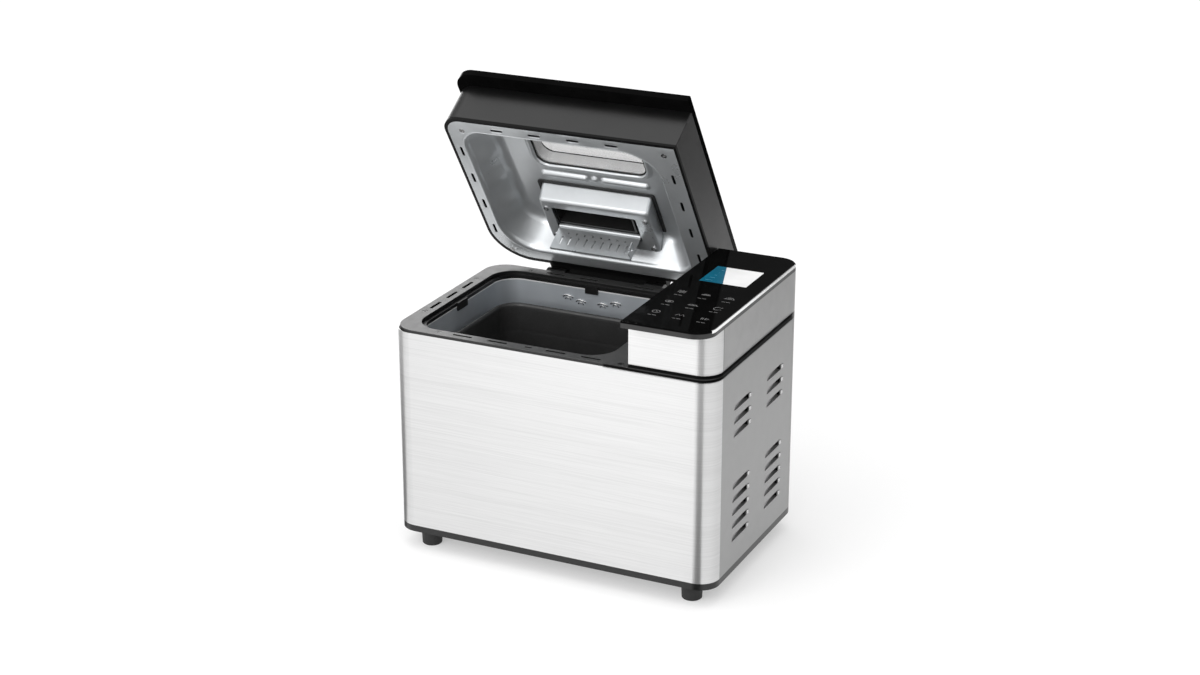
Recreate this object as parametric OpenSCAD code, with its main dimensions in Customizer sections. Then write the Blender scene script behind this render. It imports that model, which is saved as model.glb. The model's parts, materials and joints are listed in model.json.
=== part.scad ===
// Bread machine with a side control panel, a hinged lid with an automatic
// dispenser, a lift-out baking pan and a belt-driven kneading paddle.
// Frame: origin on the floor at the centre of the footprint, +X to the
// control panel, +Y to the hinges, +Z up. The lid is drawn shut and then
// turned to its open rest position about the hinge pin.

/* [Body] */
// Width of the body
body_w = 360; // [350:5:370]
// Depth of the body
body_d = 230; // [226:1:236]
// Radius of the upright corners
corner_r = 21; // [16:1:24]
// Height of the feet
foot_h = 20; // [16:1:22]
// Top of the steel skin
skin_top = 243; // [240:1:246]
// Thickness of the steel sheets
sheet = 1; // [0.8:0.1:1.2]
// Number of louvres in the upper row of a side panel
upper_louvres = 3; // [1:1:3]
// Number of louvres in the lower row of a side panel
lower_louvres = 5; // [1:1:5]

/* [Control panel] */
// Left edge of the control housing
housing_x = 88; // [86:1:92]
// Top of the control glass and of the shut lid
panel_top = 301; // [298:1:306]
// How far the glass and the lid plate overhang the front
overhang = 18.5; // [10:0.5:20]

/* [Lid] */
// Angle at which the lid stands open
lid_open = 56.4; // [40:0.2:58]
// Distance of the hinge pin behind the centre of the body
hinge_y = 120.5; // [120:0.5:124]
// Height of the hinge pin
hinge_z = 238; // [236:1:240]

/* [Oven and pan] */
// Middle of the oven chamber, left of the centre of the body
oven_x = -53; // [-56:1:-50]
// Inner length of the oven chamber
oven_l = 212; // [206:1:213]
// Inner depth of the oven chamber
oven_d = 193; // [190:1:196]
// Length of the baking pan
pan_l = 176; // [168:1:178]
// Depth of the baking pan
pan_d = 132; // [124:1:132]
// Height of the pan's rim above the floor
pan_top = 222; // [212:1:224]

/* [Drive] */
// Radius of the kneading shafts
shaft_r = 4; // [3.5:0.5:4]
// Teeth of the large pulley
big_teeth = 72; // [60:12:72]
// Teeth of the motor pulley
small_teeth = 12; // [12:1:14]
// Tooth pitch of the belt
belt_pitch = 4; // [3.5:0.25:4]

/* [Hidden] */
$fn = 64;

// Colours
black = [0.04, 0.04, 0.045];
charcoal = [0.16, 0.16, 0.17];
steel = [0.86, 0.86, 0.87];
zinc = [0.62, 0.63, 0.65];
alloy = [0.74, 0.75, 0.77];
coating = [0.22, 0.22, 0.24];

// Body
half_w = body_w / 2;
half_d = body_d / 2;
tray_top = foot_h + 7;
tray_floor = 3;
wall = 2.5;
fit = 0.2;
cut = 1;
foot_x = 150;
foot_y = 93;
foot_bore = 4.5;

// Louvres
louvre_l = 38.5;
louvre_h = 6.2;
louvre_depth = 4;
louvre_pitch = 14.4;
louvre_tops = [203.5, 118];
louvre_counts = [upper_louvres, lower_louvres];
louvre_y = 43.8;

// Deck
deck_top = skin_top + 3;
band_top = skin_top + 7;
mouth = [oven_x - 110, -101, oven_x + 110, 100];
deck_inset = 0.6;
throat = [oven_x - oven_l / 2, 0.5 - oven_d / 2, oven_x + oven_l / 2, 0.5 + oven_d / 2];
deck_slot = [22, 3.5];
deck_row_y = 106.5;
deck_column_x = -170.6;
deck_row_x = [-101, -61, 4.5, 43.5];
deck_column_y = [-37, -1.5, 33.5];
deck_screw_at = [[-129, -106], [76.5, -108], [-171.5, -58], [-171.5, 55.5], [-130, 106], [76.5, 106]];
rear_screw_at = [[-155, 50], [-155, 220], [155, 50], [155, 220], [0, 42], [-47, 220]];
bracket_screw_x = [-106, 11];
bracket_screw_z = 213;

// Control housing
bezel_low = panel_top - 7;
glass_low = panel_top - 2;
panel_front = -half_d - overhang;
glass_rear = half_d - 3;
screen = [109.6, 8.6, 160.6, 57.9];
gland_x = 140;
gland_z = 60;

// Oven
oven_low = 42;
oven_top = skin_top - 4.7;
heater_r = 3.25;
heater_z = 60;
heater_turn = 26;
heater_half_l = 88;
heater_half_d = 82;
heater_exit = 22;
shield_x = 70;

// Drive
drive_z = 27;
belt_h = 7;
big_r = big_teeth * belt_pitch / (2 * PI);
small_r = small_teeth * belt_pitch / (2 * PI);
motor_at = [130, -25];
motor_low = 50;
stack_low = 64;
stack_h = 34;
rotor_r = 20;
run = 0.05;

// Pan
pan_low = 78;
pan_wall = 1.5;
pan_floor = 2;
rim_out = 4;
bail_z = pan_top - 10;
bail_r = 2.2;
bail_reach = 77;
bail_x = pan_l / 2 + 7.5;
bail_turn = 12;

// Lid, as it lies shut
lid = [-179.5, -116.5, housing_x - 1, 110];
lid_low = 247;
lid_high = bezel_low;
rim_h = 3;
flange = [-176, -112.8, 84, 105];
basin = [-162, -98, 59.5, 90.5];
ceiling = [-140, -86, 44, 66];
basin_top = 277;
liner_t = 1;
lid_slot = [14, 3];
lid_row_x = [-116.7, -73.4, -29.8, 13.4];
lid_column_y = [-65, -22.7, 19.4, 61];
lid_screw_at = [[-159, -98.5], [70.5, -100.3], [-157.5, 94.7], [72, 95.5]];
window = [-102, -78, 24, -27];
box = [-109, 15, 20, 80];
box_low = 259;
chute = [-96, 26, 3, 57];
flap_y = 57.5;
flap_z = box_low + 1.5;
latch_y = 34;
latch_z = 270;
cover = [-104, 18, 8, 74];
cover_axis = [76, 299];
trunnion_r = 0.9;
knuckle = [-94, 0];
hinge_ends = [-117, 22];
barrel_r = 9.5;

// Rectangle with a radius of its own for each corner, anticlockwise from
// the front left: a is [left, front, right, rear].
module plate2d(a, r) {
    difference() {
        translate([a[0], a[1]]) square([a[2] - a[0], a[3] - a[1]]);
        corner2d(a[0] + r[0], a[1] + r[0], -1, -1, r[0]);
        corner2d(a[2] - r[1], a[1] + r[1], 1, -1, r[1]);
        corner2d(a[2] - r[2], a[3] - r[2], 1, 1, r[2]);
        corner2d(a[0] + r[3], a[3] - r[3], -1, 1, r[3]);
    }
}

// What a rounded corner of radius r takes away.
module corner2d(x, y, sx, sy, r) {
    if (r > 0)
        translate([x, y]) difference() {
            translate([sx > 0 ? 0 : -r - cut, sy > 0 ? 0 : -r - cut]) square(r + cut);
            circle(r);
        }
}

module slab(a, r, low, high) {
    translate([0, 0, low]) linear_extrude(high - low) plate2d(a, r);
}

// A box given by its lowest and highest corners.
module block(low, high) {
    translate(low) cube(high - low);
}

// Rectangle a grown by g on every side.
function grow(a, g) = [a[0] - g, a[1] - g, a[2] + g, a[3] + g];

// A ring between two rounded rectangles, t thick on the inside.
module ring(a, r, t, low, high) {
    difference() {
        slab(a, r, low, high);
        slab(grow(a, -t), [for (c = r) max(c - t, 0)], low - cut, high + cut);
    }
}

// A rounded slot of size s, centred, along X or along Y.
module slot(s, h, along_y = false) {
    rotate([0, 0, along_y ? 90 : 0]) linear_extrude(h) {
        square([s[0] - s[1], s[1]], center = true);
        for (side = [-1, 1]) translate([side * (s[0] - s[1]) / 2, 0]) circle(s[1] / 2);
    }
}

module rod_x(x0, x1, y, z, r) {
    translate([x0, y, z]) rotate([0, 90, 0]) cylinder(h = x1 - x0, r = r);
}

module rod_y(y0, y1, x, z, r) {
    translate([x, y1, z]) rotate([90, 0, 0]) cylinder(h = y1 - y0, r = r);
}

// Puts a shut-lid piece where the open lid holds it.
module opened() {
    translate([0, hinge_y, hinge_z]) rotate([-lid_open, 0, 0]) translate([0, -hinge_y, -hinge_z])
        children();
}

module at_drive() {
    translate([oven_x, 0, 0]) children();
}

module at_motor() {
    translate([motor_at[0], motor_at[1], 0]) children();
}

body_outline = [-half_w, -half_d, half_w, half_d];
body_radii = [corner_r, corner_r, corner_r, corner_r];
housing_outline = [housing_x, -half_d, half_w, half_d];
housing_radii = [0, corner_r, corner_r, 0];

// --- Body -------------------------------------------------------------

module base_tray() {
    color(black) difference() {
        union() {
            ring(body_outline, body_radii, wall, foot_h, tray_top);
            slab(grow(body_outline, -cut), body_radii, foot_h, foot_h + tray_floor);
            ring(grow(body_outline, -sheet - fit), body_radii, 2, foot_h, tray_top + 6);
        }
        for (x = [-foot_x, foot_x], y = [-foot_y, foot_y])
            translate([x, y, foot_h - cut]) cylinder(h = 10, r = 2.1);
        for (x = [110 : 12 : 158]) translate([x, -25, foot_h - cut]) slot([60, 4], 6, true);
        for (x = [-120 : 20 : 0]) translate([x, 0, foot_h - cut]) slot([80, 4], 6, true);
    }
}

module feet() {
    color(black) for (x = [-foot_x, foot_x], y = [-foot_y, foot_y]) translate([x, y, 0])
        rotate_extrude() polygon([
            [foot_bore, 0], [9.5, 0], [10.5, 1], [11.2, foot_h - 4], [13, foot_h - 2],
            [13, foot_h], [2.1, foot_h], [2.1, foot_h - 6], [foot_bore, foot_h - 6]
        ]);
}

module front_wrap() {
    color(steel) difference() {
        ring(body_outline, body_radii, sheet, tray_top, skin_top);
        block([-half_w - cut, corner_r - half_d, 0], [half_w + cut, half_d + cut, skin_top + cut]);
    }
}

// One pressed louvre: a pocket that deepens to the rear, where it is open.
module louvre_pocket(top) {
    difference() {
        translate([0, 0, top - louvre_h - sheet]) linear_extrude(louvre_h + 2 * sheet) polygon([
            [0, -louvre_l / 2 - 2], [0, louvre_l / 2],
            [-louvre_depth - sheet, louvre_l / 2], [-sheet, -louvre_l / 2 - 2]
        ]);
        translate([0, 0, top - louvre_h]) linear_extrude(louvre_h) polygon([
            [cut, -louvre_l / 2], [cut, louvre_l / 2 + cut],
            [-louvre_depth, louvre_l / 2 + cut], [-louvre_depth, louvre_l / 2], [0, -louvre_l / 2]
        ]);
    }
}

module right_panel_shape() {
    difference() {
        block([half_w - sheet, corner_r - half_d + fit, tray_top], [half_w, half_d - corner_r - fit, skin_top]);
        for (row = [0, 1], i = [0 : louvre_counts[row] - 1], y = [-louvre_y, louvre_y])
            translate([half_w - sheet - cut, y - louvre_l / 2, louvre_tops[row] - louvre_h - i * louvre_pitch])
                cube([sheet + 2 * cut, louvre_l, louvre_h]);
    }
    for (row = [0, 1], i = [0 : louvre_counts[row] - 1], y = [-louvre_y, louvre_y])
        translate([half_w - sheet, y, 0]) louvre_pocket(louvre_tops[row] - i * louvre_pitch);
}

module right_side_panel() {
    color(zinc) right_panel_shape();
}

module left_side_panel() {
    color(zinc) mirror([1, 0, 0]) right_panel_shape();
}

module rear_panel() {
    color(zinc) difference() {
        ring(body_outline, body_radii, sheet, tray_top, skin_top);
        block([-half_w - cut, -half_d - cut, 0], [half_w + cut, half_d - corner_r, skin_top + cut]);
        rod_y(half_d - 3, half_d + 1, gland_x, gland_z, 7);
        for (p = rear_screw_at) rod_y(half_d - 3, half_d + 1, p[0], p[1], 1.6);
        for (x = bracket_screw_x) rod_y(half_d - 3, half_d + 1, x, bracket_screw_z, 1.6);
        for (x = [80 : 9 : 152]) translate([x, half_d + cut, 160]) rotate([90, 0, 0]) slot([44, 4], 4, true);
    }
}

// A pan-head screw that stands on z = 0 with its shank below.
module screw(head_r = 2.9, shank_r = 1.4, shank_l = 7) {
    difference() {
        union() {
            cylinder(h = 1.2, r = head_r);
            translate([0, 0, -shank_l]) cylinder(h = shank_l, r = shank_r);
        }
        for (turn = [0, 90]) rotate([0, 0, turn]) translate([-1.7, -0.3, 0.5]) cube([3.4, 0.6, 1]);
    }
}

module case_screws() {
    color(charcoal) {
        for (p = deck_screw_at) translate([p[0], p[1], deck_top - 1.4]) screw();
        for (p = rear_screw_at) translate([p[0], half_d, p[1]]) rotate([-90, 0, 0]) screw();
        for (x = bracket_screw_x) translate([x, half_d + 4, bracket_screw_z]) rotate([-90, 0, 0]) screw();
        for (x = [-foot_x, foot_x], y = [-foot_y, foot_y]) translate([x, y, foot_h - 6]) mirror([0, 0, 1])
            screw(3.8, 2, 12);
    }
}

module cord_gland() {
    color(black) difference() {
        union() {
            rod_y(half_d, half_d + 3, gland_x, gland_z, 10);
            rod_y(half_d - 10, half_d + 1, gland_x, gland_z, 6.9);
            rod_y(half_d - 4, half_d - 2, gland_x, gland_z, 8.5);
        }
        rod_y(half_d - 12, half_d + 5, gland_x, gland_z, 3.5);
    }
}

module top_deck() {
    tab_t = 1.7;
    color(charcoal) difference() {
        union() {
            slab(grow(body_outline, -deck_inset), [for (r = body_radii) r + 4], skin_top, deck_top);
            slab(housing_outline, housing_radii, skin_top, band_top);
            slab(grow(mouth, 4), [32, 32, 32, 32], oven_top + 0.2, skin_top + cut);
            ring(grow(body_outline, -sheet - fit), body_radii, 2, skin_top - 8, skin_top + cut);
        }
        slab(mouth, [28, 28, 28, 28], skin_top - 1, band_top + cut);
        slab(throat, [25, 25, 25, 25], oven_top - cut, band_top);
        slab([housing_x + 8, -half_d + 9, half_w - 8, half_d - 9], [4, 14, 14, 4], skin_top - cut, band_top + cut);
        for (x = deck_row_x, side = [-1, 1]) translate([x, side * deck_row_y, skin_top - cut]) slot(deck_slot, 6);
        translate([-26, -deck_row_y, deck_top - 0.8]) slot([8, 3], 2);
        for (y = deck_column_y) translate([deck_column_x, y, skin_top - cut]) slot(deck_slot, 6, true);
        for (p = deck_screw_at) translate([p[0], p[1], skin_top - 6]) {
            cylinder(h = 13, r = 1.6);
            translate([0, 0, 7.4]) cylinder(h = 10, r = 3.2);
        }
    }
    color(charcoal) {
        for (side = [-1, 1]) {
            y = side > 0 ? throat[3] : throat[1];
            block([oven_x - 7.5, min(y, y - side * tab_t), oven_top - 5], [oven_x + 7.5, max(y, y - side * tab_t), skin_top - 1]);
        }
        for (side = [-1, 1]) {
            x = side > 0 ? throat[2] : throat[0];
            block([min(x, x - side * tab_t), -12, oven_top - 5], [max(x, x - side * tab_t), 9, skin_top - 1]);
        }
    }
}

// --- Control panel ----------------------------------------------------

module control_skin() {
    color(steel) difference() {
        ring(body_outline, body_radii, sheet, band_top, bezel_low);
        block([-half_w - cut, -half_d - cut, 0], [housing_x, half_d + cut, panel_top]);
    }
}

module control_frame() {
    inside = [housing_x, fit + sheet - half_d, half_w - sheet - fit, half_d - sheet - fit];
    radii = [0, corner_r - sheet, corner_r - sheet, 0];
    color(black) {
        ring(inside, radii, wall, band_top, bezel_low);
        for (y = [-40, 70]) block([housing_x + cut, y, band_top], [half_w - 2, y + 2, bezel_low - 8]);
    }
}

// The bright strip let into the right edge of the bezel and the glass.
module trim_strip(low, high) {
    outline = [housing_x, panel_front, half_w, half_d];
    intersection() {
        ring(outline, housing_radii, 1, low, high);
        block([half_w - 12, panel_front + 13, low - cut], [half_w + cut, half_d - 17, high + cut]);
    }
}

module control_bezel() {
    color(charcoal) difference() {
        slab([housing_x, panel_front, half_w, half_d], housing_radii, bezel_low, glass_low);
        slab([housing_x + 6, -half_d + 8, half_w - 8, half_d - 8], [3, 14, 14, 3], bezel_low - cut, glass_low - 1.5);
        trim_strip(glass_low - cut, glass_low + cut);
    }
}

module bezel_trim() {
    color(steel) trim_strip(glass_low - cut, panel_top);
}

module control_glass() {
    color(black) difference() {
        slab([housing_x, panel_front, half_w, glass_rear], housing_radii, glass_low, panel_top);
        trim_strip(glass_low - cut, panel_top + cut);
        block([screen[0], screen[1], panel_top - 1], [screen[2], screen[3], panel_top + cut]);
    }
}

module display_screen() {
    color("white") block([screen[0], screen[1], panel_top - 1], [screen[2], screen[3], panel_top]);
}

module main_board() {
    color([0.12, 0.35, 0.2]) block([156, -60, 120], [157.6, 60, 225]);
    color([0.5, 0.35, 0.15]) for (y = [-55, 47]) block([157.6, y, 128], [177, y + 8, 136]);
    color(charcoal) {
        block([140, -45, 135], [156, -25, 155]);
        block([146, 10, 140], [156, 34, 156]);
        for (y = [-40, -20]) translate([146, y, 180]) rotate([0, 90, 0]) cylinder(h = 10, r = 7);
        for (y = [5, 20, 35]) block([149, y, 200], [156, y + 11, 216]);
    }
}

// --- Oven -------------------------------------------------------------

module oven_chamber() {
    outer = grow(throat, sheet);
    color(alloy) difference() {
        union() {
            slab(outer, [26, 26, 26, 26], oven_low - sheet, oven_top);
            slab(grow(throat, 5), [30, 30, 30, 30], oven_top - sheet, oven_top);
        }
        slab(throat, [25, 25, 25, 25], oven_low, oven_top + cut);
        at_drive() translate([0, 0, oven_low - 2]) cylinder(h = 4, r = 11.1);
        for (y = [-heater_exit, heater_exit]) rod_x(throat[2] - cut, throat[2] + 3, y, heater_z, heater_r + 0.2);
        rod_x(throat[2] - cut, throat[2] + 3, 62, 170, 3.1);
    }
}

module chamber_supports() {
    color(zinc) for (x = [-140, 18], y = [-86, 70]) difference() {
        block([x, y, foot_h + tray_floor], [x + 16, y + 16, oven_low - sheet]);
        block([x + sheet, y - cut, foot_h + tray_floor + sheet], [x + 16 - sheet, y + 16 + cut, oven_low - 2 * sheet]);
    }
}

module heat_shield() {
    color(zinc) {
        block([shield_x, -104, 60], [shield_x + sheet, 104, skin_top - 10]);
        for (y = [-104, 92]) block([shield_x, y, foot_h + tray_floor], [shield_x + sheet, y + 12, 60]);
        for (y = [-104, 92]) block([shield_x, y, foot_h + tray_floor], [shield_x + 12, y + 12, foot_h + tray_floor + sheet]);
    }
}

// A quarter turn of the heater tube from angle a, centred on (x, y).
module heater_bend(x, y, a, turn = heater_turn) {
    translate([x, y, heater_z]) rotate([0, 0, a]) rotate_extrude(angle = 90) translate([turn, 0]) circle(heater_r);
}

module heating_element() {
    bend_x = heater_half_l - heater_turn;
    bend_y = heater_half_d - heater_turn;
    small = 12;
    color(charcoal) translate([oven_x, 0.5, 0]) {
        for (side = [-1, 1]) rod_x(-bend_x, bend_x, side * heater_half_d, heater_z, heater_r);
        rod_y(-bend_y, bend_y, -heater_half_l, heater_z, heater_r);
        heater_bend(-bend_x, bend_y, 90);
        heater_bend(-bend_x, -bend_y, 180);
        heater_bend(bend_x, bend_y, 0);
        heater_bend(bend_x, -bend_y, 270);
        for (side = [-1, 1]) {
            near = heater_exit - 0.5 * side + small;
            rod_y(side > 0 ? near : -bend_y, side > 0 ? bend_y : -near, heater_half_l, heater_z, heater_r);
            heater_bend(heater_half_l + small, side * near, side > 0 ? 180 : 90, small);
            rod_x(heater_half_l + small, heater_half_l + 30, side * (near - small), heater_z, heater_r);
        }
    }
}

module temp_probe() {
    color(alloy) {
        rod_x(throat[2] - 12, throat[2] + 14, 62, 170, 3);
        rod_x(throat[2] + sheet, throat[2] + 3, 62, 170, 7);
    }
}

// --- Drive ------------------------------------------------------------

module bearing_housing() {
    color(alloy) at_drive() difference() {
        union() {
            translate([0, 0, oven_low]) cylinder(h = 3, r = 24);
            translate([0, 0, 38]) cylinder(h = 18, r = 11);
        }
        translate([0, 0, 37]) cylinder(h = 20, r = 7);
        for (turn = [45 : 90 : 315]) rotate([0, 0, turn]) translate([18, 0, oven_low - cut]) cylinder(h = 5, r = 1.6);
    }
}

module drive_bushes() {
    color([0.72, 0.55, 0.32]) at_drive() for (z = [38, 48]) translate([0, 0, z]) difference() {
        cylinder(h = 8, r = 7);
        translate([0, 0, -cut]) cylinder(h = 10, r = shaft_r + run);
    }
}

module drive_shaft() {
    color(alloy) at_drive() translate([0, 0, drive_z - 2]) cylinder(h = 38, r = shaft_r);
}

// What is cut right through a pulley: its bore and its lightening holes.
module hub2d(bore, windows) {
    circle(bore);
    if (windows)
        for (i = [0 : 5]) rotate([0, 0, 60 * i]) translate([26, 0]) circle(9);
}

// A toothed pulley between two flanges, standing on z = 0.
module pulley(teeth, r, bore, edge, windows = false) {
    translate([0, 0, 1]) linear_extrude(belt_h + 1) difference() {
        union() {
            circle(r - 0.8);
            for (i = [0 : teeth - 1]) rotate([0, 0, i * 360 / teeth]) translate([r - 1.6, -0.8]) square([1.6, 1.6]);
        }
        hub2d(bore, windows);
    }
    for (z = [0, belt_h + 2]) translate([0, 0, z]) linear_extrude(1) difference() {
        circle(r + edge);
        hub2d(bore, windows);
    }
}

module driven_pulley() {
    color(charcoal) at_drive() translate([0, 0, drive_z]) pulley(big_teeth, big_r, shaft_r, 2.5, true);
}

module drive_dog() {
    color(zinc) at_drive() difference() {
        union() {
            translate([0, 0, 57]) cylinder(h = 4, r = 17);
            for (side = [-1, 1]) translate([0, side * 13, 61]) cylinder(h = 9, r = 3.2);
        }
        translate([0, 0, 56]) cylinder(h = 6, r = shaft_r);
    }
}

module motor_stator() {
    color(zinc) at_motor() difference() {
        slab([-38, -34, 38, 34], [6, 6, 6, 6], stack_low, stack_low + stack_h);
        translate([0, 0, stack_low - cut]) cylinder(h = stack_h + 2, r = rotor_r + 0.5);
        for (x = [-32, 32], y = [-28, 28]) translate([x, y, stack_low - cut]) cylinder(h = stack_h + 2, r = 2.1);
    }
}

module motor_coils() {
    color([0.72, 0.4, 0.2]) at_motor() for (z = [stack_low - 9, stack_low + stack_h]) translate([0, 0, z]) difference() {
        cylinder(h = 9, r = 30);
        translate([0, 0, -cut]) cylinder(h = 11, r = rotor_r + 1);
    }
}

module motor_bracket() {
    color(alloy) at_motor() {
        difference() {
            union() {
                slab([-40, -36, 40, 36], [6, 6, 6, 6], motor_low, motor_low + 3);
                translate([0, 0, motor_low - 4]) cylinder(h = 9, r = 9);
            }
            translate([0, 0, motor_low - 5]) cylinder(h = 20, r = shaft_r + run);
        }
        for (x = [-36, 30], y = [-34, 28]) block([x, y, foot_h + tray_floor], [x + 6, y + 6, motor_low]);
        for (x = [-32, 32], y = [-28, 28]) translate([x, y, motor_low + 3]) cylinder(h = stack_low - motor_low - 3, r = 4);
        difference() {
            union() {
                slab([-38, -10, 38, 10], [4, 4, 4, 4], stack_low + stack_h + 12, stack_low + stack_h + 14);
                translate([0, 0, stack_low + stack_h + 12]) cylinder(h = 6, r = 9);
            }
            translate([0, 0, stack_low + stack_h + 11]) cylinder(h = 10, r = shaft_r + run);
        }
        for (x = [-35, 35]) block([x - 2, -8, stack_low + stack_h], [x + 2, 8, stack_low + stack_h + 12]);
    }
}

module motor_rotor() {
    color(zinc) at_motor() difference() {
        translate([0, 0, stack_low - 2]) cylinder(h = stack_h + 4, r = rotor_r);
        translate([0, 0, stack_low - 3]) cylinder(h = stack_h + 6, r = shaft_r);
    }
}

module motor_shaft() {
    color(alloy) at_motor() translate([0, 0, drive_z - 1]) cylinder(h = 92, r = shaft_r);
}

module motor_pulley() {
    color(alloy) at_motor() translate([0, 0, drive_z]) pulley(small_teeth, small_r, shaft_r, 2);
}

// Outline of a loop that runs round both pulleys, g outside their teeth.
module loop2d(g) {
    span = [motor_at[0] - oven_x, motor_at[1]];
    lean = atan2(span[1], span[0]);
    side = acos((big_r - small_r) / norm(span));
    a = big_r + g;
    b = small_r + g;
    circle(a);
    translate(span) circle(b);
    polygon([
        a * [cos(lean + side), sin(lean + side)], a * [cos(lean - side), sin(lean - side)],
        span + b * [cos(lean - side), sin(lean - side)], span + b * [cos(lean + side), sin(lean + side)]
    ]);
}

module drive_belt() {
    color(black) at_drive() translate([0, 0, drive_z + 1.4]) linear_extrude(belt_h) difference() {
        loop2d(1.6);
        loop2d(0.4);
    }
}

module pan_seat() {
    color(alloy) at_drive() difference() {
        union() {
            translate([0, 0, oven_low]) cylinder(h = 2, r = 50);
            translate([0, 0, oven_low]) cylinder(h = 20, r = 46);
        }
        translate([0, 0, oven_low + 12]) cylinder(h = 10, r = 43.5);
        translate([0, 0, oven_low - cut]) cylinder(h = 20, r = 41);
        for (turn = [0, 90]) rotate([0, 0, turn + 45]) translate([-60, -7, oven_low + 14]) cube([120, 14, 10]);
    }
}

// --- Pan --------------------------------------------------------------

pan = [oven_x - pan_l / 2, -pan_d / 2, oven_x + pan_l / 2, pan_d / 2];
pan_radii = [22, 22, 22, 22];

module bread_pan() {
    color(coating) difference() {
        union() {
            slab(pan, pan_radii, pan_low, pan_top);
            slab(grow(pan, rim_out), [26, 26, 26, 26], pan_top - 3, pan_top);
        }
        slab(grow(pan, -pan_wall), [20.5, 20.5, 20.5, 20.5], pan_low + pan_floor, pan_top + cut);
        at_drive() translate([0, 0, pan_low - cut]) cylinder(h = 5, r = 9);
    }
}

module pan_base() {
    color(alloy) at_drive() {
        difference() {
            translate([0, 0, 54.5]) cylinder(h = pan_low - 54.5, r = 43);
            translate([0, 0, 53]) cylinder(h = pan_low, r = 40);
        }
        difference() {
            translate([0, 0, pan_low - 3]) cylinder(h = 3, r = 43);
            translate([0, 0, pan_low - 4]) cylinder(h = 5, r = 15);
        }
    }
}

module pan_bush() {
    color([0.72, 0.55, 0.32]) at_drive() difference() {
        union() {
            translate([0, 0, pan_low - 3]) cylinder(h = 3, r = 14.5);
            translate([0, 0, pan_low - cut]) cylinder(h = 13, r = 9);
        }
        translate([0, 0, pan_low - 5]) cylinder(h = 20, r = shaft_r + run);
    }
}

module handle_lugs() {
    color(alloy) for (side = [-1, 1]) difference() {
        translate([oven_x, 0, 0]) mirror([side < 0 ? 1 : 0, 0, 0]) block([pan_l / 2, -11, bail_z - 9], [pan_l / 2 + 3, 11, bail_z + 6.5]);
        rod_x(oven_x - pan_l, oven_x + pan_l, 0, bail_z, bail_r + 0.1);
    }
}

// Wire bail, folded down along the front of the pan.
module pan_handle() {
    color(alloy) translate([oven_x, 0, bail_z]) {
        for (side = [-1, 1]) mirror([side < 0 ? 1 : 0, 0, 0]) {
            rod_x(pan_l / 2 + 0.5, bail_x, 0, 0, bail_r);
            translate([bail_x, 0, 0]) sphere(bail_r);
            rod_y(bail_turn - bail_reach, 0, bail_x, 0, bail_r);
            translate([bail_x - bail_turn, bail_turn - bail_reach, 0]) rotate([0, 0, 270])
                rotate_extrude(angle = 90) translate([bail_turn, 0]) circle(bail_r);
        }
        rod_x(bail_turn - bail_x, bail_x - bail_turn, -bail_reach, 0, bail_r);
    }
}

module pan_shaft() {
    color(alloy) at_drive() difference() {
        translate([0, 0, 66]) cylinder(h = 50, r = shaft_r);
        block([shaft_r - 1, -shaft_r - cut, 95], [shaft_r + cut, shaft_r + cut, 120]);
    }
}

module pan_dog() {
    color(alloy) at_drive() difference() {
        union() {
            translate([0, 0, 66]) cylinder(h = 8, r = 8);
            block([-15.5, -3, 64], [15.5, 3, 70]);
        }
        translate([0, 0, 66]) cylinder(h = 9, r = shaft_r);
    }
}

module kneading_paddle() {
    color(coating) at_drive() difference() {
        union() {
            translate([0, 0, 92]) cylinder(h = 26, r1 = 10, r2 = 8);
            translate([0, 0, 92]) cylinder(h = 2, r = 14);
            difference() {
                translate([0, 2.5, 92]) rotate([90, 0, 0]) linear_extrude(5) polygon([
                    [0, 0], [46, 0], [50, 5], [48, 16], [36, 27], [20, 32], [8, 26], [0, 26]
                ]);
                translate([34, 3.5, 106]) rotate([90, 0, 0]) cylinder(h = 7, r = 5);
            }
        }
        difference() {
            translate([0, 0, 91]) cylinder(h = 25, r = shaft_r);
            block([shaft_r - 1, -shaft_r - cut, 95], [shaft_r + cut, shaft_r + cut, 120]);
        }
    }
}

// --- Lid --------------------------------------------------------------

lid_radii = [20, 1, 1, 45];

module lid_shell() {
    color(black) opened() difference() {
        union() {
            difference() {
                slab(lid, lid_radii, lid_low + rim_h, lid_high);
                slab(grow(lid, -wall), [17.5, 0, 0, 42.5], lid_low, lid_high - 2);
            }
            for (p = lid_screw_at) translate([p[0], p[1], lid_low + 1.2]) cylinder(h = lid_high - lid_low - 2, r = 3.8);
        }
        for (p = lid_screw_at) translate([p[0], p[1], lid_low]) cylinder(h = 12, r = 1.4);
        slab(grow(window, 4), [16, 16, 16, 16], lid_high - 4, lid_high + cut);
        block([chute[0] - 4, 18, lid_high - 4], [-1, 76, lid_high + cut]);
    }
}

module lid_rim() {
    color(black) opened() difference() {
        slab(lid, lid_radii, lid_low, lid_low + rim_h);
        slab(grow(flange, fit), [18, 1, 1, 42], lid_low - cut, lid_low + 1);
        slab(grow(flange, -3), [15, 0, 0, 39], lid_low - cut, lid_low + rim_h + cut);
        for (p = lid_screw_at) translate([p[0], p[1], lid_low - cut]) cylinder(h = rim_h + 2 * cut, r = 4);
    }
}

// The liner's basin: g grows it by one sheet, on every side and upwards.
module basin(g) {
    hull() {
        slab(grow(basin, g), [25, 40, 16, 40], lid_low - (g > 0 ? 0 : cut), lid_low + 0.01);
        slab(grow(ceiling, g), [25, 30, 16, 30], basin_top - 0.01, basin_top + g);
    }
}

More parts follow.
